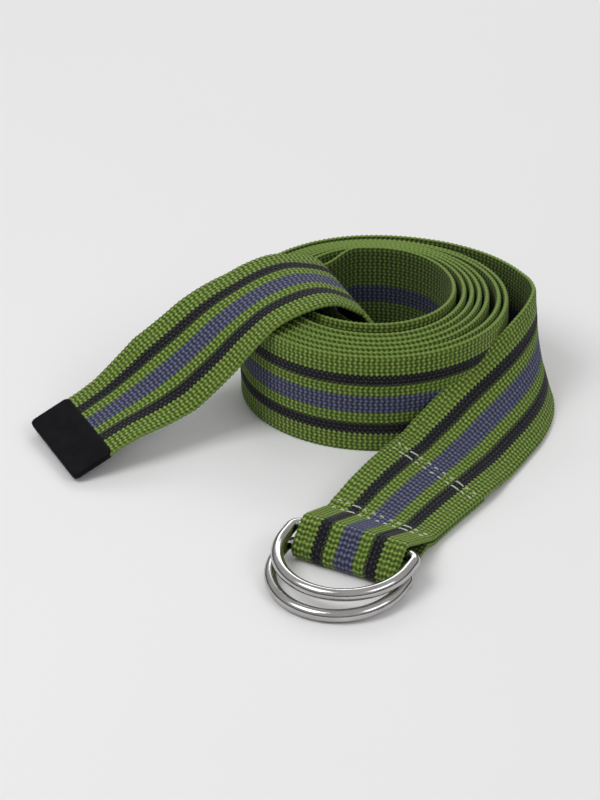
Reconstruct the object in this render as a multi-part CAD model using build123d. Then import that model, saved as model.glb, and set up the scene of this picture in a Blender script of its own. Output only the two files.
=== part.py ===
from build123d import *
import os
from math import asin, atan2, ceil, cos, degrees, pi, radians, sin, sqrt

# A stretching strap: 38 mm woven webbing wound on its edge into a loose coil that stands on the table z = 0.
# The inner end is folded up out of the hollow and hangs over the rim to the front left, with a belt tip on
# it. The outer end leaves the coil on the right, turns flat, runs to the front, and is sewn back on itself
# round the bars of two D-rings. X is to the right, Y to the back.
#
# The webbing is made of rulings, straight lines across it, each a pair (low, high): from its low edge (at the
# bottom of the coil) to its high edge (at the top of the coil). They are listed from the rings to the tip, and
# then the front face is on the outside of the coil and on top of both ends.

# Webbing
WEB_WIDTH = 38.0
WEB_THICK = 2.0
HALF_WIDTH = WEB_WIDTH / 2
HALF_THICK = WEB_THICK / 2
LAYER_GAP = 0.1             # between the two sewn layers
SPLIT_GAP = 0.3             # between two lengths of webbing that turn about one another

# Coil: reach of the spiral from its centre, one value per quarter turn from the outer end inward, in the
# order right, back, left, front
COIL_CENTRE = Vector(28.7, 50.3, 0)
COIL_REACH = [
    57.0, 46.0, 47.5, 44.1,
    46.5, 42.3, 45.2, 42.0,
    43.8, 40.2, 42.8, 39.9,
    39.6, 38.1, 40.2, 37.8,
    36.9, 36.0, 37.4, 35.7,
    34.2, 33.9, 34.4, 33.6,
    31.4, 31.7, 30.5, 27.5,
    27.8, 29.6, 28.2,
]
COIL_FIRST = 0.3            # quarter turn where the ring end leaves the coil
COIL_LAST = 29.2            # quarter turn where the inner bend starts
LEVEL_QUARTERS = 4          # the outermost turn stands on the table
RISE_PER_TURN = 0.6         # each turn inside it stands a little higher
STEPS_PER_QUARTER = 6
COMPASS = [Vector(1, 0, 0), Vector(0, 1, 0), Vector(-1, 0, 0), Vector(0, -1, 0)]

# Inner bend, between the coil and the free end, measured from the coil's centre: the strap runs on along the
# wall of the hollow, crosses it, and its low edge folds up and over beside the wall
INNER_BEND = [
    ((-15.0, 24.6, 1.8), (-15.2, 24.4, 38.3)),
    ((-19.0, 20.8, 1.2), (-20.3, 20.2, 36.6)),
    ((-17.5, 16.5, 1.5), (-22.5, 9.5, 36.0)),
    ((-13.2, 16.0, 5.0), (-17.0, -4.0, 35.5)),
    ((-11.5, 17.5, 13.5), (-9.0, -12.0, 33.5)),
    ((-13.3, 18.6, 25.5), (-1.7, -13.9, 32.6)),
    ((-17.0, 19.0, 35.5), (-2.6, -13.8, 34.9)),
]
BEND_STEPS = 5

# Free end: middle of its first ruling, measured from the coil's centre, then its slope and roll (low edge
# raised) in degrees along its length
FREE_START = Vector(-12.2, 3.0, 38.6)
FREE_LENGTH = 125.2
FREE_HEADING = [(0, -154), (13, -153), (58, -154), (78, -151), (98, -151), (107, -153), (126, -153)]
FREE_SLOPE = [
    (0, 50), (3, 33), (13, 18.5), (23, -4.5), (38, -22.5), (58, -37), (78, -29), (98, -21), (104, -22.5),
    (126, -22.5),
]
FREE_ROLL = [
    (0, 4), (3, 5.2), (6, 4.8), (13, 2.5), (23, 4.6), (38, 5), (58, 19), (78, 22), (98, 4), (105, 2.5), (126, 2.5),
]
STEP = 3.0

# Belt tip: a thin band folded round the end of the webbing
TIP_LENGTH = 15.5
TIP_THICK = 0.6
TIP_WIDTH = 38.6
TIP_CORNER = 2.0

# Ring end: heading and roll (90 = standing on edge, 0 = flat) in degrees along its length
RING_HEADING = [
    (0, -58), (10, -64), (18.5, -83), (33.5, -104), (48.5, -119), (63.5, -127.5), (80, -126.5), (128, -126.5),
    (140, -120), (143, -118), (150, -118),
]
RING_ROLL = [
    (0, 90), (10, 90), (18.5, 86), (33.5, 69.6), (48.5, 56.8), (63.5, 43.6), (78.5, 32), (98.5, 16), (118, 14),
    (130, 10), (138, 5), (143, 0), (150, 0),
]
RING_SPLIT = 92.0           # the ring end lifts about this ruling
LAYERS_START = 102.0        # the end of the flap that is folded underneath
LAYERS_RISE = 22.0          # length over which the top layer climbs onto the flap
LOOP_START = 143.0
LOOP_FOOT = (3.0, 3.9)      # where the top layer starts to rise to the upper bar, from the start of the loop
LOOP_SLOPE = 38.0
FLAP_ROWS = (105.0, 108.0)
RING_ROWS = (137.5, 140.5)

# D-rings
WIRE = 4.2
RING_HALF_WIDTH = 22.1      # centre line
RING_CORNER = 3.0
RING_DEPTH = 29.0           # centre of the bar to the centre of the bow
BAR_GAP = 0.35              # between a bar and the loop of webbing round it
LOWER_BAR = (19.0, WEB_THICK + BAR_GAP + WIRE / 2)
UPPER_BAR = (14.3, LOWER_BAR[1] + 4.65)
RING_CLEAR = 0.05           # under the bow of the lower ring
LOWER_DROP = LOWER_BAR[1] - WIRE / 2 - RING_CLEAR
UPPER_DROP = 1.9
ARC_STEP = 15.0

# Sewing thread
STITCH_LENGTH = 2.3
STITCH_PITCH = 3.2
STITCH_WIDTH = 0.6
STITCH_HEIGHT = 0.5
STITCH_SUNK = 0.2
STITCH_COUNT = 11


def between(table, s):
    """Value at s in a table of (length, value), in straight lines."""
    for (s0, v0), (s1, v1) in zip(table, table[1:]):
        if s <= s1:
            return v0 + (v1 - v0) * max(0.0, s - s0) / (s1 - s0)
    return table[-1][1]


def coil_ruling(quarter):
    """Ruling of the coil after that many quarter turns inward."""
    k = min(int(quarter), len(COIL_REACH) - 2)
    turn = (quarter - k) * pi / 2
    first, second = COMPASS[k % 4], COMPASS[(k + 1) % 4]
    a, b = COIL_REACH[k], COIL_REACH[k + 1]
    out = first * (a * cos(turn)) + second * (b * sin(turn))
    rise = RISE_PER_TURN * max(0.0, (quarter - LEVEL_QUARTERS) / 4)
    low = COIL_CENTRE + out + Vector(0, 0, rise)
    return low, low + Vector(0, 0, WEB_WIDTH)


def level_ruling(middle, heading, slope, roll):
    """Left and right end of the ruling of a strip that runs along heading and slope, its left edge raised."""
    e, g, r = radians(heading), radians(slope), radians(roll)
    left = Vector(sin(e), -cos(e), 0)
    up = Vector(-sin(g) * cos(e), -sin(g) * sin(e), cos(g))
    across = left * cos(r) + up * sin(r)
    return middle + across * HALF_WIDTH, middle - across * HALF_WIDTH


def free_rulings():
    """Rulings of the free end, from the inner bend to the tip."""
    count = round(FREE_LENGTH / STEP)
    step = FREE_LENGTH / count
    middle = COIL_CENTRE + FREE_START
    rulings = []
    for i in range(count + 1):
        s = i * step
        heading, slope, roll = between(FREE_HEADING, s), between(FREE_SLOPE, s), between(FREE_ROLL, s)
        rulings.append(level_ruling(middle, heading, slope, roll))
        e = radians(between(FREE_HEADING, s + step / 2))
        g = radians(between(FREE_SLOPE, s + step / 2))
        middle = middle + Vector(cos(g) * cos(e), cos(g) * sin(e), sin(g)) * step
    return rulings


def ring_height(s):
    """Height of the middle of the ring end: its lower edge rests on the table, or on the flap."""
    roll = radians(between(RING_ROLL, s))
    climb = min(1.0, max(0.0, (s - LAYERS_START + LAYERS_RISE) / LAYERS_RISE))
    lift = (WEB_THICK + LAYER_GAP) * climb * climb * (3 - 2 * climb)
    return HALF_WIDTH * sin(roll) + (HALF_THICK + lift) * cos(roll)


def ring_ruling(s):
    """Ruling of the top layer of the ring end at the length s from the coil."""
    low, high = coil_ruling(COIL_FIRST)
    middle = (low + high) / 2
    count = max(1, round(s / STEP))
    step = s / count
    for i in range(count):
        rise = ring_height((i + 1) * step) - ring_height(i * step)
        run = sqrt(step * step - rise * rise)
        e = radians(between(RING_HEADING, (i + 0.5) * step))
        middle = middle + Vector(cos(e) * run, sin(e) * run, rise)
    slope = degrees(asin((ring_height(s + 1) - ring_height(s - 1)) / 2))
    heading, roll = between(RING_HEADING, s), between(RING_ROLL, s)
    raised, lowered = level_ruling(middle, heading, slope, roll)
    return lowered, raised


def ring_top(first, last):
    """Top layer of the ring end from the length first back to the length last."""
    count = max(1, round((first - last) / STEP))
    return [ring_ruling(first + (last - first) * i / count) for i in range(count + 1)]


def ring_flap():
    """Underside layer, from its cut end to the loop: the top layer moved down through its thickness."""
    tops = list(reversed(ring_top(LOOP_START, LAYERS_START)))
    drop = WEB_THICK + LAYER_GAP
    return [(low + n * drop, high + n * drop) for (low, high), n in zip(tops, normals(tops))]


def loop_frame():
    """Point on the table under the start of the loop, the way out to the rings, and the way to the high edge."""
    low, high = ring_ruling(LOOP_START)
    across = (high - low).normalized()
    middle = (low + high) / 2
    return Vector(middle.X, middle.Y, 0), across.cross(Vector(0, 0, -1)), across


def ring_loop():
    """Loop of webbing round both bars, from under the lower bar, round the front and over the upper bar."""
    origin, out, across = loop_frame()
    radius = WIRE / 2 + BAR_GAP + HALF_THICK
    tilt = degrees(atan2(LOWER_BAR[1] - UPPER_BAR[1], LOWER_BAR[0] - UPPER_BAR[0])) + 90
    spots = []
    for bar, start, end in ((LOWER_BAR, -90, tilt), (UPPER_BAR, tilt, 90 + LOOP_SLOPE)):
        count = ceil((end - start) / ARC_STEP)
        for i in range(count + 1):
            turn = radians(start + (end - start) * i / count)
            spots.append((bar[0] + radius * cos(turn), bar[1] + radius * sin(turn)))
    spots.append(LOOP_FOOT)
    middles = [origin + out * x + Vector(0, 0, z) for x, z in spots]
    return [(m - across * HALF_WIDTH, m + across * HALF_WIDTH) for m in middles]


def coil_rulings():
    count = round((COIL_LAST - COIL_FIRST) * STEPS_PER_QUARTER)
    step = (COIL_LAST - COIL_FIRST) / count
    return [coil_ruling(COIL_FIRST + i * step) for i in range(count + 1)]


def smooth(p0, p1, p2, p3, t):
    """Point between p1 and p2 on a smooth curve through all four."""
    a = p1 * 2
    b = (p2 - p0) * t
    c = (p0 * 2 - p1 * 5 + p2 * 4 - p3) * t ** 2
    d = (p1 * 3 - p0 - p2 * 3 + p3) * t ** 3
    return (a + b + c + d) / 2


def bend_rulings(coil, free):
    """Rulings between the last one of the coil and the first one of the free end, without those two."""
    chosen = [(COIL_CENTRE + Vector(*low), COIL_CENTRE + Vector(*high)) for low, high in INNER_BEND]
    stops = [coil[-2], coil[-1]] + chosen + [free[0], free[1]]
    rulings = []
    for k in range(1, len(stops) - 2):
        for i in range(BEND_STEPS):
            t = i / BEND_STEPS
            lows, highs = zip(*stops[k - 1:k + 3])
            rulings.append((smooth(*lows, t), smooth(*highs, t)))
    return rulings[1:]


def normals(rulings):
    """Front-face direction of each ruling."""
    middles = [(low + high) / 2 for low, high in rulings]
    found = []
    for i, (low, high) in enumerate(rulings):
        along = middles[min(i + 1, len(middles) - 1)] - middles[max(i - 1, 0)]
        found.append(along.cross(high - low).normalized())
    return found


def strip(rulings):
    """Webbing through the rulings, as one solid of the webbing's thickness."""
    sections = []
    for (low, high), normal in zip(rulings, normals(rulings)):
        half = normal * HALF_THICK
        corners = [low - half, high - half, high + half, low + half]
        sections.append(Wire.make_polygon(corners, close=True))
    return Solid.make_loft(sections, ruled=True)


def tip_band(free):
    """Band folded round the end of the webbing, with its two front corners rounded."""
    (low, high), (low_in, high_in) = free[-1], free[-2]
    along = ((low + high) - (low_in + high_in)).normalized()
    across = (high - low).normalized()
    end = (low + high) / 2
    side = Plane(origin=end - across * (TIP_WIDTH / 2), x_dir=along, z_dir=across)
    outer = HALF_THICK + TIP_THICK
    whole = Pos((TIP_THICK - TIP_LENGTH) / 2, 0) * Rectangle(TIP_LENGTH + TIP_THICK, 2 * outer)
    hollow = Pos(-TIP_LENGTH, 0) * Rectangle(2 * TIP_LENGTH, WEB_THICK)
    band = extrude(side * (whole - hollow), TIP_WIDTH)
    face = Plane(origin=end, x_dir=along, z_dir=along.cross(across))
    rounded = RectangleRounded(TIP_LENGTH + TIP_THICK, TIP_WIDTH, TIP_CORNER)
    outline = Pos((TIP_THICK - TIP_LENGTH) / 2, 0) * rounded
    return band & extrude(face * outline, outer, both=True)


def d_ring(bar, drop):
    """D-ring on the bar centre (out, height), its bow lower than its bar by drop."""
    origin, out, across = loop_frame()
    centre = origin + out * bar[0] + Vector(0, 0, bar[1])
    tilt = asin(drop / RING_DEPTH)
    outward = out * cos(tilt) - Vector(0, 0, sin(tilt))
    flat = Plane(origin=centre, x_dir=across, z_dir=across.cross(outward))
    half, corner = RING_HALF_WIDTH, RING_CORNER
    leg = RING_DEPTH - half
    outline = Polyline((0, 0), (half, 0), (half, leg))
    bow = RadiusArc((half, leg), (-half, leg), -half)
    rest = Polyline((-half, leg), (-half, 0), (0, 0))
    path = Wire([*outline.edges(), *bow.edges(), *rest.edges()])
    path = path.fillet_2d(corner, [v for v in path.vertices() if v.Y < 0.1 and abs(v.X) > corner])
    path = flat * path
    section = Plane(origin=path @ 0, z_dir=path % 0) * Circle(WIRE / 2)
    return sweep(section, path)


def stitch_row(s):
    """Row of stitches across the top layer of the ring end at the length s."""
    before, row, after = ring_ruling(s + 1), ring_ruling(s), ring_ruling(s - 1)
    low, high = row
    normal = normals([before, row, after])[1]
    across = (high - low).normalized()
    height = HALF_THICK - STITCH_SUNK + STITCH_HEIGHT / 2
    stitch = Box(STITCH_LENGTH, STITCH_WIDTH, STITCH_HEIGHT)
    stitches = []
    for i in range(STITCH_COUNT):
        place = (i - (STITCH_COUNT - 1) / 2) * STITCH_PITCH
        spot = (low + high) / 2 + across * place + normal * height
        stitches.append(Plane(origin=spot, x_dir=across, z_dir=normal) * stitch)
    return Compound(children=stitches)


def main():
    coil, free = coil_rulings(), free_rulings()
    top_inner = ring_top(RING_SPLIT, 0)
    top_outer = ring_top(LOOP_START, RING_SPLIT + SPLIT_GAP)
    bend = bend_rulings(coil, free)
    ring_end = ring_flap() + ring_loop() + top_outer
    nodes = {
        "webbing_coil": strip(top_inner[:-1] + coil + bend),
        "webbing_free_end": strip(free),
        "webbing_ring_end": strip(ring_end),
        "end_tip": tip_band(free),
        "upper_d_ring": d_ring(UPPER_BAR, UPPER_DROP),
        "lower_d_ring": d_ring(LOWER_BAR, LOWER_DROP),
        "ring_stitch_row_1": stitch_row(RING_ROWS[0]),
        "ring_stitch_row_2": stitch_row(RING_ROWS[1]),
        "flap_stitch_row_1": stitch_row(FLAP_ROWS[0]),
        "flap_stitch_row_2": stitch_row(FLAP_ROWS[1]),
    }
    os.makedirs("parts", exist_ok=True)
    for name, shape in nodes.items():
        shape.label = name
        export_step(shape, f"parts/{name}.step")
        box = shape.bounding_box()
        print(name, shape.is_valid, round(shape.volume, 1), box.min, box.max)


if __name__ == "__main__":
    main()
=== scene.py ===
from math import asin, atan2, ceil, cos, degrees, pi, radians, sin, sqrt, tan

import bpy
import numpy as np
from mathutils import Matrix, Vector


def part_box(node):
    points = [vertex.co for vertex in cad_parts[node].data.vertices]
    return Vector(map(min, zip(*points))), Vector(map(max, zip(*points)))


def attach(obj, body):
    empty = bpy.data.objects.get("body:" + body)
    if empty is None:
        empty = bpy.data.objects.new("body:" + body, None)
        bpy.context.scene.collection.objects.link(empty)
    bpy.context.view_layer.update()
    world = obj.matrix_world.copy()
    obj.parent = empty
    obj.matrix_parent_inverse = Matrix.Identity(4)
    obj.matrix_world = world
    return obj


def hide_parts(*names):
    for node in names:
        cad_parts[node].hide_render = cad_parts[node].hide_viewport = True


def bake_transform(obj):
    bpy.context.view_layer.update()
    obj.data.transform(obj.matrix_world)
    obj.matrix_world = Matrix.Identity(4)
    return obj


# The looks of a woven stretching strap, wound into a loose coil: the webbing with its raised stripes, the
# belt tip, the sewing threads and the steel of the two D-rings. Lengths are in metres unless a name ends
# in _MM, except in the section on the route, which is in millimetres throughout.

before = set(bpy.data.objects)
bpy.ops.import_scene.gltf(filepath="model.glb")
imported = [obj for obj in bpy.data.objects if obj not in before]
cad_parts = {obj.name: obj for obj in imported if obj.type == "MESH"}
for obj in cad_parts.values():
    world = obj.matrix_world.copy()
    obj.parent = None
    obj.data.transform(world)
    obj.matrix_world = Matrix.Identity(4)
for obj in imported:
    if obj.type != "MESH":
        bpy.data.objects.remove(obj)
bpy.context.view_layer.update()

# Webbing, in millimetres
WIDTH_MM = 38.0
YARNS = 28                       # warp yarns across the webbing
YARN_MM = WIDTH_MM / YARNS
RIB_MM = 1.8                     # one weft rib along the webbing
HALF_THICK_MM = 0.86             # middle plane to the hollows of the weave
EDGE_MM = 0.85                   # rounding of the selvedge
WEAVE_MM = 0.11                  # height of the weave above and below its mean
BEAD_MM = 0.17                   # height of the beads along the selvedge
ROPE_RAISE_MM = 0.10             # how far the black stripes stand up
ROPE_MM = 0.12                   # height of their beads above and below that
ROPE_FADE_MM = 0.5               # width over which a black stripe rises from the weave beside it
BLUE_HALF_MM = 3.3               # half the width of the blue stripe
ROPE_AT_MM = 9.7                 # middle of a black stripe, from the middle of the webbing
ROPE_HALF_MM = 2.05              # half its width
ROPE_SCALLOP_MM = 0.42           # its edges run in and out by this at every rib
ROW_SHIFT = 0.7                  # angle by which every second yarn is ahead along the ribs
BLEND_LENGTH = 0.020             # length into an end at which its section is found, together with its first


def new_object(name, vertices, faces, material, smooth=True):
    mesh = bpy.data.meshes.new(name)
    mesh.from_pydata([tuple(v) for v in vertices], [], faces)
    mesh.validate()
    mesh.polygons.foreach_set("use_smooth", [smooth] * len(mesh.polygons))
    mesh.materials.append(material)
    piece = bpy.data.objects.new(name, mesh)
    bpy.context.scene.collection.objects.link(piece)
    return piece


# ---------------------------------------------------------------- route of the webbing, in millimetres
#
# The webbing is made of rulings, straight lines across it, each a pair (low, high): from its low edge (at
# the bottom of the coil) to its high edge (at the top of the coil), listed from the rings to the tip.

WEB_THICK = 2.0
HALF_WIDTH = WIDTH_MM / 2
HALF_THICK = WEB_THICK / 2
LAYER_GAP = 0.1             # between the two sewn layers

# Coil: reach of the spiral from its centre, one value per quarter turn from the outer end inward, in the
# order right, back, left, front
COIL_CENTRE = Vector((28.7, 50.3, 0))
COIL_REACH = [
    57.0, 46.0, 47.5, 44.1,
    46.5, 42.3, 45.2, 42.0,
    43.8, 40.2, 42.8, 39.9,
    39.6, 38.1, 40.2, 37.8,
    36.9, 36.0, 37.4, 35.7,
    34.2, 33.9, 34.4, 33.6,
    31.4, 31.7, 30.5, 27.5,
    27.8, 29.6, 28.2,
]
COIL_FIRST = 0.3            # quarter turn where the ring end leaves the coil
COIL_LAST = 29.2            # quarter turn where the inner bend starts
LEVEL_QUARTERS = 4          # the outermost turn stands on the table
RISE_PER_TURN = 0.6         # each turn inside it stands a little higher
STEPS_PER_QUARTER = 6
COMPASS = [Vector((1, 0, 0)), Vector((0, 1, 0)), Vector((-1, 0, 0)), Vector((0, -1, 0))]

# Inner bend, between the coil and the free end, measured from the coil's centre: the strap runs on along
# the wall of the hollow, crosses it, and its low edge folds up and over beside the wall
INNER_BEND = [
    ((-15.0, 24.6, 1.8), (-15.2, 24.4, 38.3)),
    ((-19.0, 20.8, 1.2), (-20.3, 20.2, 36.6)),
    ((-17.5, 16.5, 1.5), (-22.5, 9.5, 36.0)),
    ((-13.2, 16.0, 5.0), (-17.0, -4.0, 35.5)),
    ((-11.5, 17.5, 13.5), (-9.0, -12.0, 33.5)),
    ((-13.3, 18.6, 25.5), (-1.7, -13.9, 32.6)),
    ((-17.0, 19.0, 35.5), (-2.6, -13.8, 34.9)),
]
BEND_STEPS = 5

# Free end: middle of its first ruling, measured from the coil's centre, then its slope and roll (low edge
# raised) in degrees along its length
FREE_START = Vector((-12.2, 3.0, 38.6))
FREE_LENGTH = 125.2
FREE_HEADING = [(0, -154), (13, -153), (58, -154), (78, -151), (98, -151), (107, -153), (126, -153)]
FREE_SLOPE = [
    (0, 50), (3, 33), (13, 18.5), (23, -4.5), (38, -22.5), (58, -37), (78, -29), (98, -21),
    (104, -22.5), (126, -22.5),
]
FREE_ROLL = [
    (0, 4), (3, 5.2), (6, 4.8), (13, 2.5), (23, 4.6), (38, 5), (58, 19), (78, 22), (98, 4),
    (105, 2.5), (126, 2.5),
]
STEP = 3.0                  # between rulings where the route is curved

# Ring end: heading and roll (90 = standing on edge, 0 = flat) in degrees along its length
RING_HEADING = [
    (0, -58), (10, -64), (18.5, -83), (33.5, -104), (48.5, -119), (63.5, -127.5), (80, -126.5),
    (128, -126.5), (140, -120), (143, -118), (150, -118),
]
RING_ROLL = [
    (0, 90), (10, 90), (18.5, 86), (33.5, 69.6), (48.5, 56.8), (63.5, 43.6), (78.5, 32), (98.5, 16),
    (118, 14), (130, 10), (138, 5), (143, 0), (150, 0),
]
RING_SPLIT = 92.0           # the ring end lifts about this ruling
LAYERS_START = 102.0        # the end of the flap that is folded underneath
LAYERS_RISE = 22.0          # length over which the top layer climbs onto the flap
HELD_START = 131.0          # from here on the two bars hold the sewn layers up off the table
LAYERS_END = 141.0          # where the layers part, one over the upper bar and one under the lower bar
LOOP_START = 143.0          # the bars are measured from here
LOOP_SLOPE = 24.6           # of the upper layer where they part
LOOP_DROP = 6.2             # slope of the lower layer
WIRE = 4.2
BAR_GAP = 0.35              # between a bar and the loop of webbing round it
LOWER_BAR = (19.0, WEB_THICK + BAR_GAP + WIRE / 2)
UPPER_BAR = (14.3, LOWER_BAR[1] + 4.65)
ARC_STEP = 15.0             # degrees between rulings round a bar
NEAREST_STEP = 0.00025      # how finely the nearest place on a route is found, in metres


def between(table, s):
    """Value at s in a table of (length, value), in straight lines."""
    for (s0, v0), (s1, v1) in zip(table, table[1:]):
        if s <= s1:
            return v0 + (v1 - v0) * max(0.0, s - s0) / (s1 - s0)
    return table[-1][1]


def coil_ruling(quarter):
    """Ruling of the coil after that many quarter turns inward."""
    k = min(int(quarter), len(COIL_REACH) - 2)
    turn = (quarter - k) * pi / 2
    first, second = COMPASS[k % 4], COMPASS[(k + 1) % 4]
    a, b = COIL_REACH[k], COIL_REACH[k + 1]
    out = first * (a * cos(turn)) + second * (b * sin(turn))
    rise = RISE_PER_TURN * max(0.0, (quarter - LEVEL_QUARTERS) / 4)
    low = COIL_CENTRE + out + Vector((0, 0, rise))
    return low, low + Vector((0, 0, WIDTH_MM))


def level_ruling(middle, heading, slope, roll):
    """Left and right end of the ruling of a strip that runs along heading and slope, left edge raised."""
    e, g, r = radians(heading), radians(slope), radians(roll)
    left = Vector((sin(e), -cos(e), 0))
    up = Vector((-sin(g) * cos(e), -sin(g) * sin(e), cos(g)))
    across = left * cos(r) + up * sin(r)
    return middle + across * HALF_WIDTH, middle - across * HALF_WIDTH


def free_rulings():
    """Rulings of the free end, from the inner bend to the tip."""
    count = round(FREE_LENGTH / STEP)
    step = FREE_LENGTH / count
    middle = COIL_CENTRE + FREE_START
    rulings = []
    for i in range(count + 1):
        s = i * step
        heading, slope, roll = between(FREE_HEADING, s), between(FREE_SLOPE, s), between(FREE_ROLL, s)
        rulings.append(level_ruling(middle, heading, slope, roll))
        e = radians(between(FREE_HEADING, s + step / 2))
        g = radians(between(FREE_SLOPE, s + step / 2))
        middle = middle + Vector((cos(g) * cos(e), cos(g) * sin(e), sin(g))) * step
    return rulings


def ring_height(s):
    """Height of the middle of the ring end: its lower edge rests on the table, or on the flap."""
    roll = radians(between(RING_ROLL, s))
    climb = min(1.0, max(0.0, (s - LAYERS_START + LAYERS_RISE) / LAYERS_RISE))
    lift = (WEB_THICK + LAYER_GAP) * climb * climb * (3 - 2 * climb)
    return HALF_WIDTH * sin(roll) + (HALF_THICK + lift) * cos(roll)


def ring_ruling(s):
    """Ruling of the top layer of the ring end at the length s from the coil."""
    low, high = coil_ruling(COIL_FIRST)
    middle = (low + high) / 2
    count = max(1, round(s / STEP))
    step = s / count
    for i in range(count):
        rise = ring_height((i + 1) * step) - ring_height(i * step)
        run = sqrt(step * step - rise * rise)
        e = radians(between(RING_HEADING, (i + 0.5) * step))
        middle = middle + Vector((cos(e) * run, sin(e) * run, rise))
    slope = degrees(asin((ring_height(s + 1) - ring_height(s - 1)) / 2))
    heading, roll = between(RING_HEADING, s), between(RING_ROLL, s)
    raised, lowered = level_ruling(middle, heading, slope, roll)
    return lowered, raised


def held_ruling(s):
    """The same ruling where the bars hold the layers up, on a bend that ends at the slope of the loop."""
    past = max(0.0, s - HELD_START)
    lift = Vector((0, 0, tan(radians(LOOP_SLOPE)) * past * past / 2 / (LAYERS_END - HELD_START)))
    low, high = ring_ruling(s)
    return low + lift, high + lift


def ring_top(first, last):
    """Top layer of the ring end from the length first back to the length last."""
    count = max(1, round((first - last) / STEP))
    return [held_ruling(first + (last - first) * i / count) for i in range(count + 1)]


def ring_flap():
    """Underside layer, from its cut end to the loop: the top layer moved down through its thickness."""
    tops = list(reversed(ring_top(LAYERS_END, LAYERS_START)))
    drop = WEB_THICK + LAYER_GAP
    return [(low + n * drop, high + n * drop) for (low, high), n in zip(tops, normals(tops))]


def loop_frame():
    """Point on the table under the start of the loop, the way out to the rings, and to the high edge."""
    low, high = ring_ruling(LOOP_START)
    across = (high - low).normalized()
    middle = (low + high) / 2
    return Vector((middle.x, middle.y, 0)), across.cross(Vector((0, 0, -1))), across


def ring_loop():
    """Loop of webbing round both bars, from under the lower one to over the upper one."""
    origin, out, across = loop_frame()
    radius = WIRE / 2 + BAR_GAP + HALF_THICK
    tilt = degrees(atan2(LOWER_BAR[1] - UPPER_BAR[1], LOWER_BAR[0] - UPPER_BAR[0])) + 90
    spots = []
    for bar, start, end in ((LOWER_BAR, -90 - LOOP_DROP, tilt), (UPPER_BAR, tilt, 90 + LOOP_SLOPE)):
        count = ceil((end - start) / ARC_STEP)
        for i in range(count + 1):
            turn = radians(start + (end - start) * i / count)
            spots.append((bar[0] + radius * cos(turn), bar[1] + radius * sin(turn)))
    middles = [origin + out * x + Vector((0, 0, z)) for x, z in spots]
    return [(m - across * HALF_WIDTH, m + across * HALF_WIDTH) for m in middles]


def coil_rulings():
    count = round((COIL_LAST - COIL_FIRST) * STEPS_PER_QUARTER)
    step = (COIL_LAST - COIL_FIRST) / count
    return [coil_ruling(COIL_FIRST + i * step) for i in range(count + 1)]


def smooth(p0, p1, p2, p3, t):
    """Point between p1 and p2 on a smooth curve through all four."""
    a = p1 * 2
    b = (p2 - p0) * t
    c = (p0 * 2 - p1 * 5 + p2 * 4 - p3) * t ** 2
    d = (p1 * 3 - p0 - p2 * 3 + p3) * t ** 3
    return (a + b + c + d) / 2


def bend_rulings(coil, free):
    """Rulings between the last one of the coil and the first one of the free end, without those two."""
    chosen = [(COIL_CENTRE + Vector(low), COIL_CENTRE + Vector(high)) for low, high in INNER_BEND]
    stops = [coil[-2], coil[-1]] + chosen + [free[0], free[1]]
    rulings = []
    for k in range(1, len(stops) - 2):
        for i in range(BEND_STEPS):
            t = i / BEND_STEPS
            lows, highs = zip(*stops[k - 1:k + 3])
            rulings.append((smooth(*lows, t), smooth(*highs, t)))
    return rulings[1:]


def normals(rulings):
    """Front-face direction of each ruling."""
    middles = [(low + high) / 2 for low, high in rulings]
    found = []
    for i, (low, high) in enumerate(rulings):
        along = middles[min(i + 1, len(middles) - 1)] - middles[max(i - 1, 0)]
        found.append(along.cross(high - low).normalized())
    return found


def filled(rulings):
    """The same rulings, with more of them between any two that are far apart."""
    full = rulings[:1]
    for low, high in rulings[1:]:
        last_low, last_high = full[-1]
        count = max(1, round((low + high - last_low - last_high).length / 2 / STEP))
        for i in range(1, count + 1):
            full.append((last_low.lerp(low, i / count), last_high.lerp(high, i / count)))
    return full


def curve(values, at, places):
    """Values at the places, on a smooth curve through the values given at their own places."""
    slopes = np.gradient(values, at, axis=0)
    k = np.clip(np.searchsorted(at, places) - 1, 0, len(at) - 2)
    span = (at[k + 1] - at[k])[:, None]
    t = (places - at[k])[:, None] / span
    near = (2 * t**3 - 3 * t**2 + 1) * values[k] + (t**3 - 2 * t**2 + t) * span * slopes[k]
    far = (3 * t**2 - 2 * t**3) * values[k + 1] + (t**3 - t**2) * span * slopes[k + 1]
    return near + far


def unit(vectors):
    return vectors / np.linalg.norm(vectors, axis=1)[:, None]


class Route:
    """A stretch of webbing through rulings in millimetres, with its sections at lengths in metres."""

    def __init__(self, rulings, fronts):
        lows = np.array([low for low, high in rulings]) / 1000
        highs = np.array([high for low, high in rulings]) / 1000
        self.middle = (lows + highs) / 2
        self.across = unit(highs - lows)
        self.front = np.array(fronts)
        steps = np.linalg.norm(np.diff(self.middle, axis=0), axis=1)
        self.at = np.concatenate([[0.0], np.cumsum(steps)])
        self.length = self.at[-1]

    def sections(self, places):
        middle = curve(self.middle, self.at, places)
        across = unit(curve(self.across, self.at, places))
        front = unit(curve(self.front, self.at, places))
        return middle, across, front

    def nearest(self, point):
        places = np.arange(0.0, self.length, NEAREST_STEP)
        middle, _, _ = self.sections(places)
        return places[np.argmin(np.linalg.norm(middle - np.array(point), axis=1))]


def routes():
    """The coil with its inner bend, the free end, and the ring end as seen from where it is lifted."""
    turns, loose = coil_rulings(), free_rulings()
    coil = ring_top(RING_SPLIT, 0)[:-1] + turns + bend_rulings(turns, loose)
    sewn = filled(ring_flap() + ring_loop() + ring_top(LAYERS_END, RING_SPLIT))
    sewn_back, sewn_fronts = list(reversed(sewn)), list(reversed(normals(sewn)))
    return Route(coil, normals(coil)), Route(loose, normals(loose)), Route(sewn_back, sewn_fronts)


# ---------------------------------------------------------------- webbing


EDGE_TURNS = (60, 20, -20, -60)  # degrees round a selvedge, from the front to the back


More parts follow.
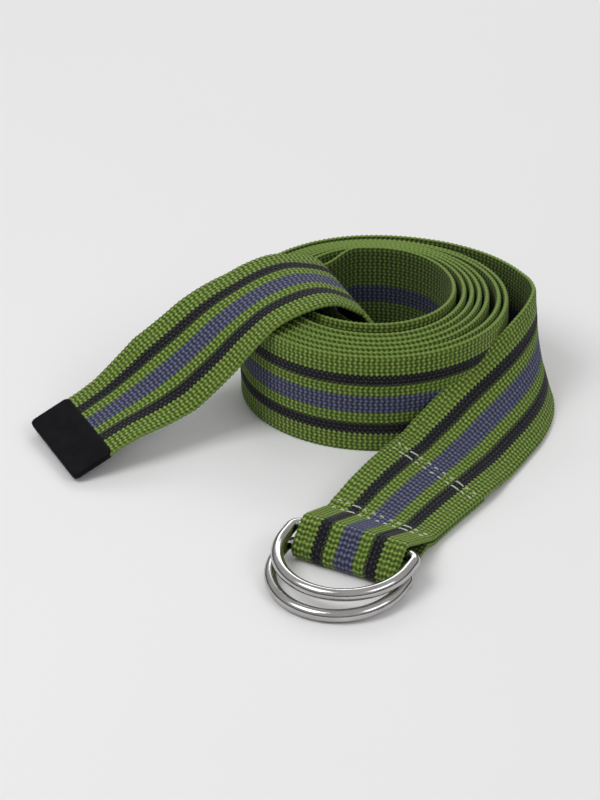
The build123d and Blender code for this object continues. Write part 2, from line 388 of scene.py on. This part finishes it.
def profile(front_count, back_count):
    """Points round a section of webbing: place across, height from the middle, and outward direction."""
    points = []
    flat = WIDTH_MM / 2 - EDGE_MM
    for i in range(front_count):
        points.append((-flat + 2 * flat * (i + 0.5) / front_count, HALF_THICK_MM, 0.0, 1.0))
    for turn in EDGE_TURNS:
        a = radians(turn)
        points.append((flat + EDGE_MM * cos(a), HALF_THICK_MM * sin(a), cos(a), sin(a)))
    for i in range(back_count):
        points.append((flat - 2 * flat * (i + 0.5) / back_count, -HALF_THICK_MM, 0.0, -1.0))
    for turn in EDGE_TURNS:
        a = radians(turn)
        points.append((-flat - EDGE_MM * cos(a), -HALF_THICK_MM * sin(a), -cos(a), -sin(a)))
    return np.array(points)


def rope_wave(u, v):
    """Wave of the beads along a black stripe, which are staggered between its two sides."""
    return np.cos(2 * pi * u / RIB_MM + pi * (np.abs(v) > ROPE_AT_MM))


def relief(u, v, out_across, out_front):
    """Height of the woven surface at the length u and the place v across, in millimetres."""
    edge = np.abs(out_across)
    weave = WEAVE_MM * np.cos(2 * pi * u / RIB_MM + ROW_SHIFT * np.cos(pi * v / YARN_MM))
    bead = BEAD_MM * np.cos(2 * pi * u / RIB_MM)
    half = ROPE_HALF_MM + ROPE_SCALLOP_MM * rope_wave(u, v)
    inside = np.clip((half - np.abs(np.abs(v) - ROPE_AT_MM)) / ROPE_FADE_MM + 0.5, 0, 1)
    inside = inside * (out_front > 0.9)
    rope = ROPE_RAISE_MM + ROPE_MM * rope_wave(u, v)
    return (weave * (1 - edge) + bead * edge) * (1 - inside) + rope * inside


def webbing(name, way, first, last, u_start, forward, grid, material):
    """Woven strap along a route between two lengths.

    u_start is the length of the weave at first, forward is 1 or -1 as the weave's length grows or falls
    along the route, and grid is the number of points to a rib and to a yarn.
    """
    per_rib, per_yarn = grid
    count = round((last - first) * 1000 / RIB_MM * per_rib)
    places = np.linspace(first, last, count + 1)
    u = (u_start + forward * (places - first)) * 1000
    middle, across, front = way.sections(places)
    ring = profile(YARNS * per_yarn - 2, YARNS * per_yarn // 2)
    v, w, out_v, out_w = (ring[:, i][None, :] for i in range(4))
    height = relief(u[:, None], v, out_v, out_w)
    place_across = (v + out_v * height) / 1000
    place_out = (w + out_w * height) / 1000
    spots = middle[:, None, :] + across[:, None, :] * place_across[..., None]
    spots = spots + front[:, None, :] * place_out[..., None]
    rows, columns = len(places), len(ring)
    index = np.arange(rows * columns).reshape(rows, columns)
    beside = np.roll(index, -1, axis=1)
    quads = np.stack([index[:-1], beside[:-1], beside[1:], index[1:]], axis=-1).reshape(-1, 4)
    if forward > 0:
        quads = quads[:, ::-1]
    caps = [index[0].tolist(), index[-1][::-1].tolist()]
    if forward < 0:
        caps = [cap[::-1] for cap in caps]
    piece = new_object(name, spots.reshape(-1, 3), quads.tolist() + caps, material)
    weave = piece.data.attributes.new("weave", "FLOAT_VECTOR", "POINT")
    values = np.stack([np.broadcast_to(a, (rows, columns)) for a in (u[:, None], v, out_w)], axis=-1)
    weave.data.foreach_set("vector", values.astype(np.float32).ravel())
    return piece


# ---------------------------------------------------------------- materials


class Nodes:
    """A material's node tree, with short ways to add what the materials below are made of."""

    def __init__(self, name):
        self.material = bpy.data.materials.new(name)
        self.material.use_nodes = True
        self.tree = self.material.node_tree
        self.shader = self.tree.nodes["Principled BSDF"]

    def node(self, kind, **settings):
        node = self.tree.nodes.new(kind)
        for name, value in settings.items():
            setattr(node, name, value)
        return node

    def link(self, source, socket):
        if isinstance(source, bpy.types.NodeSocket):
            self.tree.links.new(source, socket)
        else:
            socket.default_value = source

    def math(self, operation, *values):
        node = self.node("ShaderNodeMath", operation=operation)
        for value, socket in zip(values, node.inputs):
            self.link(value, socket)
        return node.outputs[0]

    def ramp(self, value, low, high, to_low=0.0, to_high=1.0):
        """Value moved from the range low to high into the range to_low to to_high, held at its ends."""
        node = self.node("ShaderNodeMapRange", clamp=True)
        for source, socket in zip((value, low, high, to_low, to_high), node.inputs):
            self.link(source, socket)
        return node.outputs[0]

    def mix(self, factor, a, b, blend="MIX"):
        node = self.node("ShaderNodeMix", data_type="RGBA", blend_type=blend)
        self.link(factor, node.inputs[0])
        self.link(a, node.inputs[6])
        self.link(b, node.inputs[7])
        return node.outputs[2]

    def noise(self, scale, detail=3.0, vector=None, roughness=0.5):
        node = self.node("ShaderNodeTexNoise")
        node.inputs["Scale"].default_value = scale
        node.inputs["Detail"].default_value = detail
        node.inputs["Roughness"].default_value = roughness
        if vector is None:
            vector = self.node("ShaderNodeTexCoord").outputs["Object"]
        self.tree.links.new(vector, node.inputs["Vector"])
        return node.outputs[0]

    def scaled(self, vector, factors):
        node = self.node("ShaderNodeVectorMath", operation="MULTIPLY")
        self.link(vector, node.inputs[0])
        self.link(factors, node.inputs[1])
        return node.outputs[0]

    def bump(self, height, distance, strength=1.0):
        node = self.node("ShaderNodeBump")
        node.inputs["Strength"].default_value = strength
        node.inputs["Distance"].default_value = distance
        self.tree.links.new(height, node.inputs["Height"])
        self.tree.links.new(node.outputs[0], self.shader.inputs["Normal"])

    def set(self, **values):
        for name, value in values.items():
            self.link(value, self.shader.inputs[name.replace("_", " ")])


# The darkest green and blue are painted shade in the hollows of the weave; the middle ones are the
# cloth's own colour
GREEN_PAINTED_SHADE = (0.042, 0.075, 0.009, 1)
GREEN_MEAN = (0.145, 0.230, 0.034, 1)
# the brightest green and blue are painted highlight on the crowns of the yarns
GREEN_PAINTED_HIGHLIGHT = (0.370, 0.490, 0.125, 1)
BLUE_PAINTED_SHADE = (0.030, 0.033, 0.060, 1)
BLUE_MEAN = (0.078, 0.087, 0.155, 1)
BLUE_PAINTED_HIGHLIGHT = (0.200, 0.215, 0.320, 1)
BLACK_DEEP = (0.007, 0.007, 0.009, 1)
# the lighter black is painted highlight on the crowns of the black stripes' beads
BLACK_PAINTED_HIGHLIGHT = (0.095, 0.098, 0.110, 1)
SELVEDGE = (0.200, 0.300, 0.075, 1)
REVERSE_PAINTED_SHADE = 0.5              # painted shade: the reverse of the webbing is painted this much darker


def webbing_material():
    m = Nodes("webbing")
    weave = m.node("ShaderNodeAttribute", attribute_name="weave")
    parts = m.node("ShaderNodeSeparateXYZ")
    m.tree.links.new(weave.outputs["Vector"], parts.inputs[0])
    u, v, face = parts.outputs
    offset = m.math("ABSOLUTE", v)

    row = m.math("MULTIPLY", m.math("COSINE", m.math("MULTIPLY", v, pi / YARN_MM)), ROW_SHIFT)
    rib = m.math("COSINE", m.math("MULTIPLY_ADD", u, 2 * pi / RIB_MM, row))
    yarn = m.math("COSINE", m.math("MULTIPLY", v, 2 * pi / YARN_MM))
    cell = m.math("MULTIPLY_ADD", rib, 0.6, m.math("MULTIPLY", yarn, 0.4))
    side = m.math("MULTIPLY", m.math("GREATER_THAN", offset, ROPE_AT_MM), pi)
    wave = m.math("COSINE", m.math("MULTIPLY_ADD", u, 2 * pi / RIB_MM, side))
    half = m.math("MULTIPLY_ADD", wave, ROPE_SCALLOP_MM, ROPE_HALF_MM)
    gap = m.math("SUBTRACT", half, m.math("ABSOLUTE", m.math("SUBTRACT", offset, ROPE_AT_MM)))
    rope = m.math("MULTIPLY", m.ramp(gap, -0.12, 0.12), m.math("GREATER_THAN", face, 0.5))
    wander = m.math("MULTIPLY_ADD", rib, 0.18, offset)
    blue = m.math("MULTIPLY", m.ramp(wander, BLUE_HALF_MM + 0.12, BLUE_HALF_MM - 0.12),
                  m.math("GREATER_THAN", m.math("ABSOLUTE", face), 0.5))

    fibre = m.noise(1.0, 4.0, m.scaled(weave.outputs["Vector"], (3.2, 1.6, 1.0)), 0.65)
    blotch = m.noise(1.0, 2.0, m.scaled(weave.outputs["Vector"], (0.12, 0.25, 1.0)))
    tuft = m.noise(1.0, 1.0, m.scaled(weave.outputs["Vector"], (0.75, 0.9, 1.0)))

    rough = m.math("MULTIPLY_ADD", fibre, 2.6, -1.3)
    level = m.math("ADD", cell, rough)
    # painted shade: the weave's colour is darker where its height is low, in the hollows of the weave
    top = m.ramp(level, -0.35, 0.15)
    # painted highlight on the highest crowns of the weave, in patches where the tufts are
    crown_highlight = m.math("MULTIPLY", m.ramp(level, 0.25, 0.85), m.ramp(tuft, 0.35, 0.6, 0.45, 1.0))
    green = m.mix(crown_highlight, m.mix(top, GREEN_PAINTED_SHADE, GREEN_MEAN), GREEN_PAINTED_HIGHLIGHT)
    green = m.mix(m.ramp(blotch, 0.35, 0.7, 0.0, 0.25), green, GREEN_MEAN)
    blue_colour = m.mix(crown_highlight, m.mix(top, BLUE_PAINTED_SHADE, BLUE_MEAN), BLUE_PAINTED_HIGHLIGHT)
    beads = m.math("MULTIPLY_ADD", wave, 0.4, m.math("MULTIPLY", yarn, 0.3))
    # painted highlight: the black stripes are lighter on the crowns of their beads
    bead_highlight = m.ramp(m.math("ADD", beads, rough), 0.3, 0.9)
    black = m.mix(bead_highlight, BLACK_DEEP, BLACK_PAINTED_HIGHLIGHT)
    colour = m.mix(blue, green, blue_colour)
    colour = m.mix(rope, colour, black)
    selvedge = m.mix(m.ramp(m.math("MULTIPLY_ADD", rib, 0.3, fibre), 0.2, 0.85), GREEN_MEAN, SELVEDGE)
    colour = m.mix(m.ramp(m.math("ABSOLUTE", face), 0.85, 0.5), colour, selvedge)
    # painted shade: the reverse face is darkened towards near black
    colour = m.mix(m.ramp(face, -0.5, -0.85, 0.0, REVERSE_PAINTED_SHADE), colour, (0.0, 0.0, 0.004, 1))

    height = m.math("MULTIPLY_ADD", cell, 0.8, m.math("MULTIPLY", fibre, 0.9))
    m.bump(height, 0.00022, 0.9)
    m.set(Base_Color=colour, Roughness=m.ramp(fibre, 0.3, 0.7, 0.75, 0.95))
    m.set(Sheen_Weight=0.08, Sheen_Roughness=0.5, Specular_IOR_Level=0.2)
    return m.material


def tip_material():
    m = Nodes("belt_tip")
    grain = m.noise(2500, 3.0)
    shade = m.noise(180, 2.0)
    black, worn = (0.0015, 0.0015, 0.003, 1), (0.004, 0.004, 0.006, 1)
    m.set(Base_Color=m.mix(m.ramp(shade, 0.35, 0.65), black, worn))
    m.set(Roughness=m.ramp(grain, 0.3, 0.7, 0.55, 0.75), Specular_IOR_Level=0.12)
    m.bump(grain, 0.00005, 0.5)
    return m.material


def steel_material():
    m = Nodes("ring_steel")
    smear = m.noise(90, 3.0)
    place = m.node("ShaderNodeTexCoord").outputs["Object"]
    scratch = m.noise(700, 5.0, m.scaled(place, (1.0, 1.0, 9.0)), 0.7)
    dark, light = (0.42, 0.41, 0.40, 1), (0.58, 0.57, 0.56, 1)
    m.set(Base_Color=m.mix(m.ramp(smear, 0.3, 0.7), dark, light))
    m.set(Metallic=1.0, Roughness=m.ramp(m.math("ADD", smear, scratch), 0.7, 1.4, 0.09, 0.22))
    m.bump(scratch, 0.00002, 0.35)
    return m.material


def thread_material():
    m = Nodes("thread")
    ply = m.noise(3500, 2.0)
    shaded_hollow, crown = (0.38, 0.44, 0.30, 1), (0.72, 0.76, 0.62, 1)
    # painted shade: the thread is darker where the ply's noise is low, in the hollows that the bump makes
    m.set(Base_Color=m.mix(m.ramp(ply, 0.3, 0.7), shaded_hollow, crown))
    m.set(Roughness=0.7, Sheen_Weight=0.3)
    m.bump(ply, 0.00006, 0.6)
    return m.material


def stage_material(name, colour):
    m = Nodes(name)
    mottle = m.noise(8, 2.0)
    bright = tuple(min(1.0, c * 1.02) for c in colour[:3]) + (1,)
    m.set(Base_Color=m.mix(mottle, colour, bright), Roughness=0.9)
    m.set(Specular_IOR_Level=0.1)
    return m.material


# ---------------------------------------------------------------- sewing, tip and rings

THREAD_RADIUS = 0.00027
THREAD_SIDES = 8
THREAD_STEPS = 9
STITCH_PITCH_MM = 3.2
STITCH_REACH_MM = 16.0           # the row runs this far each side of the middle
LONG_STITCH_MM = 3.3
SHORT_STITCH_MM = 1.3
STITCH_JITTER_MM = 0.2           # how far a stitch strays along its row
STITCH_SLANT_MM = 0.25           # and how far its ends stray out of the row
STITCH_RISE_MM = 0.42
STITCH_SINK_MM = 0.25            # depth of its ends in the webbing
OVER_ROPE_MM = 0.12              # a stitch is this much higher over a black stripe
SHORTEST, LONGEST = 0.8, 1.25    # range of the short stitches' lengths
NEAREST_ABOVE = 0.004            # a row is on the upper of the two layers


def add_thread(vertices, faces, points):
    """A round thread through the points, with closed ends."""
    start = len(vertices)
    for i, point in enumerate(points):
        ahead = points[min(i + 1, len(points) - 1)] - points[max(i - 1, 0)]
        side = np.cross(ahead, (0.0, 0.0, 1.0))
        side /= np.linalg.norm(side)
        top = np.cross(side, ahead)
        top /= np.linalg.norm(top)
        for k in range(THREAD_SIDES):
            a = 2 * pi * k / THREAD_SIDES
            vertices.append(point + (side * cos(a) + top * sin(a)) * THREAD_RADIUS)
    for i in range(len(points) - 1):
        for k in range(THREAD_SIDES):
            a, b = start + i * THREAD_SIDES + k, start + i * THREAD_SIDES + (k + 1) % THREAD_SIDES
            faces.append((a, b, b + THREAD_SIDES, a + THREAD_SIDES))
    faces.append(tuple(range(start + THREAD_SIDES - 1, start - 1, -1)))
    last = start + (len(points) - 1) * THREAD_SIDES
    faces.append(tuple(range(last, last + THREAD_SIDES)))


def stitches(node, way, material, seed):
    """A row of stitches where a CAD row of sewing is: long over the black stripes, short elsewhere."""
    low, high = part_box(node)
    place = way.nearest((low + high) / 2 + Vector((0, 0, NEAREST_ABOVE)))
    chance = np.random.default_rng(seed)
    vertices, faces = [], []
    v = -STITCH_REACH_MM
    while v <= STITCH_REACH_MM:
        over_rope = abs(abs(v) - ROPE_AT_MM) < ROPE_HALF_MM
        length = LONG_STITCH_MM if over_rope else SHORT_STITCH_MM * chance.uniform(SHORTEST, LONGEST)
        slant = chance.uniform(-STITCH_SLANT_MM, STITCH_SLANT_MM)
        t = np.linspace(-1, 1, THREAD_STEPS)
        middle, across, front = way.sections(place + slant * t / 1000)
        side = (v + chance.uniform(-STITCH_JITTER_MM, STITCH_JITTER_MM) + t * length / 2) / 1000
        hump = STITCH_RISE_MM * np.sqrt(1 - t**4 * 0.999)
        rise = (HALF_THICK_MM - STITCH_SINK_MM + hump + OVER_ROPE_MM * over_rope) / 1000
        add_thread(vertices, faces, middle + across * side[:, None] + front * rise[:, None])
        v += STITCH_PITCH_MM
    piece = new_object(node + "_threads", vertices, faces, material)
    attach(piece, "ring_end")
    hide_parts(node)


TIP_LENGTH_MM = 15.5
TIP_OVER_MM = 0.6                # the band reaches this far past the end of the webbing
TIP_HALF_WIDTH_MM = 19.3
TIP_HALF_THICK_MM = 1.55
TIP_CORNER_MM = 2.2
TIP_ROUND_MM = 0.7
TIP_STEPS = 26
TIP_SIDES = 72
TIP_SQUARE = 0.16                # power of its section, an oval that is nearly a rectangle


def belt_tip(way, material):
    """Band folded over the end of the webbing, with rounded corners and a soft rolled edge."""
    whole = TIP_LENGTH_MM + TIP_OVER_MM
    steps = (1 - np.cos(np.linspace(0, pi, TIP_STEPS))) / 2 * whole
    places = way.length + (TIP_OVER_MM - steps) / 1000
    middle, across, front = way.sections(places)
    from_end = np.minimum(steps, whole - steps)
    corner = np.clip(1 - from_end / TIP_CORNER_MM, 0, 1)
    roll = np.clip(1 - from_end / TIP_ROUND_MM, 0, 1)
    half_width = TIP_HALF_WIDTH_MM - TIP_CORNER_MM * (1 - np.sqrt(1 - corner**2))
    half_thick = TIP_HALF_THICK_MM - TIP_ROUND_MM * (1 - np.sqrt(1 - roll**2))
    angles = np.linspace(0, 2 * pi, TIP_SIDES, endpoint=False)
    shape_v = np.sign(np.cos(angles)) * np.abs(np.cos(angles)) ** TIP_SQUARE
    shape_w = np.sign(np.sin(angles)) * np.abs(np.sin(angles)) ** (TIP_SQUARE * 3)
    spots = middle[:, None, :] + across[:, None, :] * (half_width[:, None] * shape_v / 1000)[..., None]
    spots = spots + front[:, None, :] * (half_thick[:, None] * shape_w / 1000)[..., None]
    rows, columns = len(places), len(angles)
    index = np.arange(rows * columns).reshape(rows, columns)
    beside = np.roll(index, -1, axis=1)
    quads = np.stack([index[:-1], beside[:-1], beside[1:], index[1:]], axis=-1).reshape(-1, 4)
    caps = [index[0][::-1].tolist(), index[-1].tolist()]
    piece = new_object("belt_tip", spots.reshape(-1, 3), quads.tolist() + caps, material)
    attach(piece, "free_end")
    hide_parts("end_tip")


# ---------------------------------------------------------------- camera, floor and light

TARGET = Vector((0.0017, 0.0403, 0.0))
DISTANCE = 0.9                   # of the camera from its target
ELEVATION = radians(31)
LENS_MM = 112.08
FLOOR_HALF = 2.0
FLOOR_GREY = (0.86, 0.86, 0.86, 1)
ROOM_WHITE = (1.0, 0.99, 1.0, 1)
HORIZON = 0.02                   # brightness of the room low down and overhead
ZENITH = 0.53


def camera():
    data = bpy.data.cameras.new("camera")
    data.sensor_fit = "VERTICAL"
    data.sensor_height = 36
    data.lens = LENS_MM
    eye = bpy.data.objects.new("camera", data)
    eye.location = TARGET + Vector((0, -cos(ELEVATION), sin(ELEVATION))) * DISTANCE
    eye.rotation_euler = (pi / 2 - ELEVATION, 0, 0)
    bpy.context.scene.collection.objects.link(eye)
    bpy.context.scene.camera = eye


def lamp(name, place, size, power):
    data = bpy.data.lights.new(name, "AREA")
    data.shape = "RECTANGLE"
    data.size, data.size_y = size
    data.energy = power
    light = bpy.data.objects.new(name, data)
    light.location = place
    light.rotation_euler = (TARGET - Vector(place)).to_track_quat("-Z", "Y").to_euler()
    bpy.context.scene.collection.objects.link(light)


def floor():
    corners = [(x * FLOOR_HALF, y * FLOOR_HALF, 0.0) for x, y in ((-1, -1), (1, -1), (1, 1), (-1, 1))]
    plane = new_object("floor", corners, [(0, 1, 2, 3)], stage_material("floor", FLOOR_GREY), False)


def surroundings():
    world = bpy.data.worlds.new("studio")
    world.use_nodes = True
    tree = world.node_tree
    background = tree.nodes["Background"]
    background.inputs[0].default_value = ROOM_WHITE
    way_up = tree.nodes.new("ShaderNodeSeparateXYZ")
    tree.links.new(tree.nodes.new("ShaderNodeTexCoord").outputs["Generated"], way_up.inputs[0])
    brightness = tree.nodes.new("ShaderNodeMapRange")
    tree.links.new(way_up.outputs["Z"], brightness.inputs[0])
    for value, socket in zip((0.10, 0.45, HORIZON, ZENITH), brightness.inputs[1:]):
        socket.default_value = value
    tree.links.new(brightness.outputs[0], background.inputs[1])
    bpy.context.scene.world = world
    bpy.context.scene.view_settings.view_transform = "Standard"


camera()
floor()
surroundings()
lamp("key", (-0.5, -0.25, 0.9), (0.5, 0.5), 3.9)
lamp("fill", (0.7, -0.5, 0.8), (0.6, 0.4), 1.7)
lamp("back", (0.1, 0.9, 0.7), (0.9, 0.3), 2.3)

# ---------------------------------------------------------------- the strap

cloth, pale = webbing_material(), thread_material()
coil, free, ring = routes()
COIL_GRID = (2, 1)               # points to a rib and to a yarn
END_GRID = (4, 2)
OVERLAP = 0.0004                 # the lifting ends start this far inside the coil's webbing
INSIDE_TIP = 0.0016              # the webbing stops this far short, clear of the tip's rounded corners

coil_piece = webbing("coil_webbing", coil, 0.0, coil.length, 0.0, 1, COIL_GRID, cloth)
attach(coil_piece, "coil")
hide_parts("webbing_coil")

free_last = free.length - INSIDE_TIP
free_piece = webbing("free_end_webbing", free, -OVERLAP, free_last, coil.length, 1, END_GRID, cloth)
start, _, _ = free.sections(np.array([0.0, BLEND_LENGTH]))
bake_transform(free_piece)
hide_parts("webbing_free_end")

ring_piece = webbing("ring_end_webbing", ring, -OVERLAP, ring.length, 0.0, -1, END_GRID, cloth)
start, _, _ = ring.sections(np.array([0.0, BLEND_LENGTH]))
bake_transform(ring_piece)
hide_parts("webbing_ring_end")

belt_tip(free, tip_material())
rows = "ring_stitch_row_1", "ring_stitch_row_2", "flap_stitch_row_1", "flap_stitch_row_2"
for seed, node in enumerate(rows):
    stitches(node, ring, pale, seed)

steel = steel_material()
for node in ("upper_d_ring", "lower_d_ring"):
    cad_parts[node].data.materials.clear()
    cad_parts[node].data.materials.append(steel)
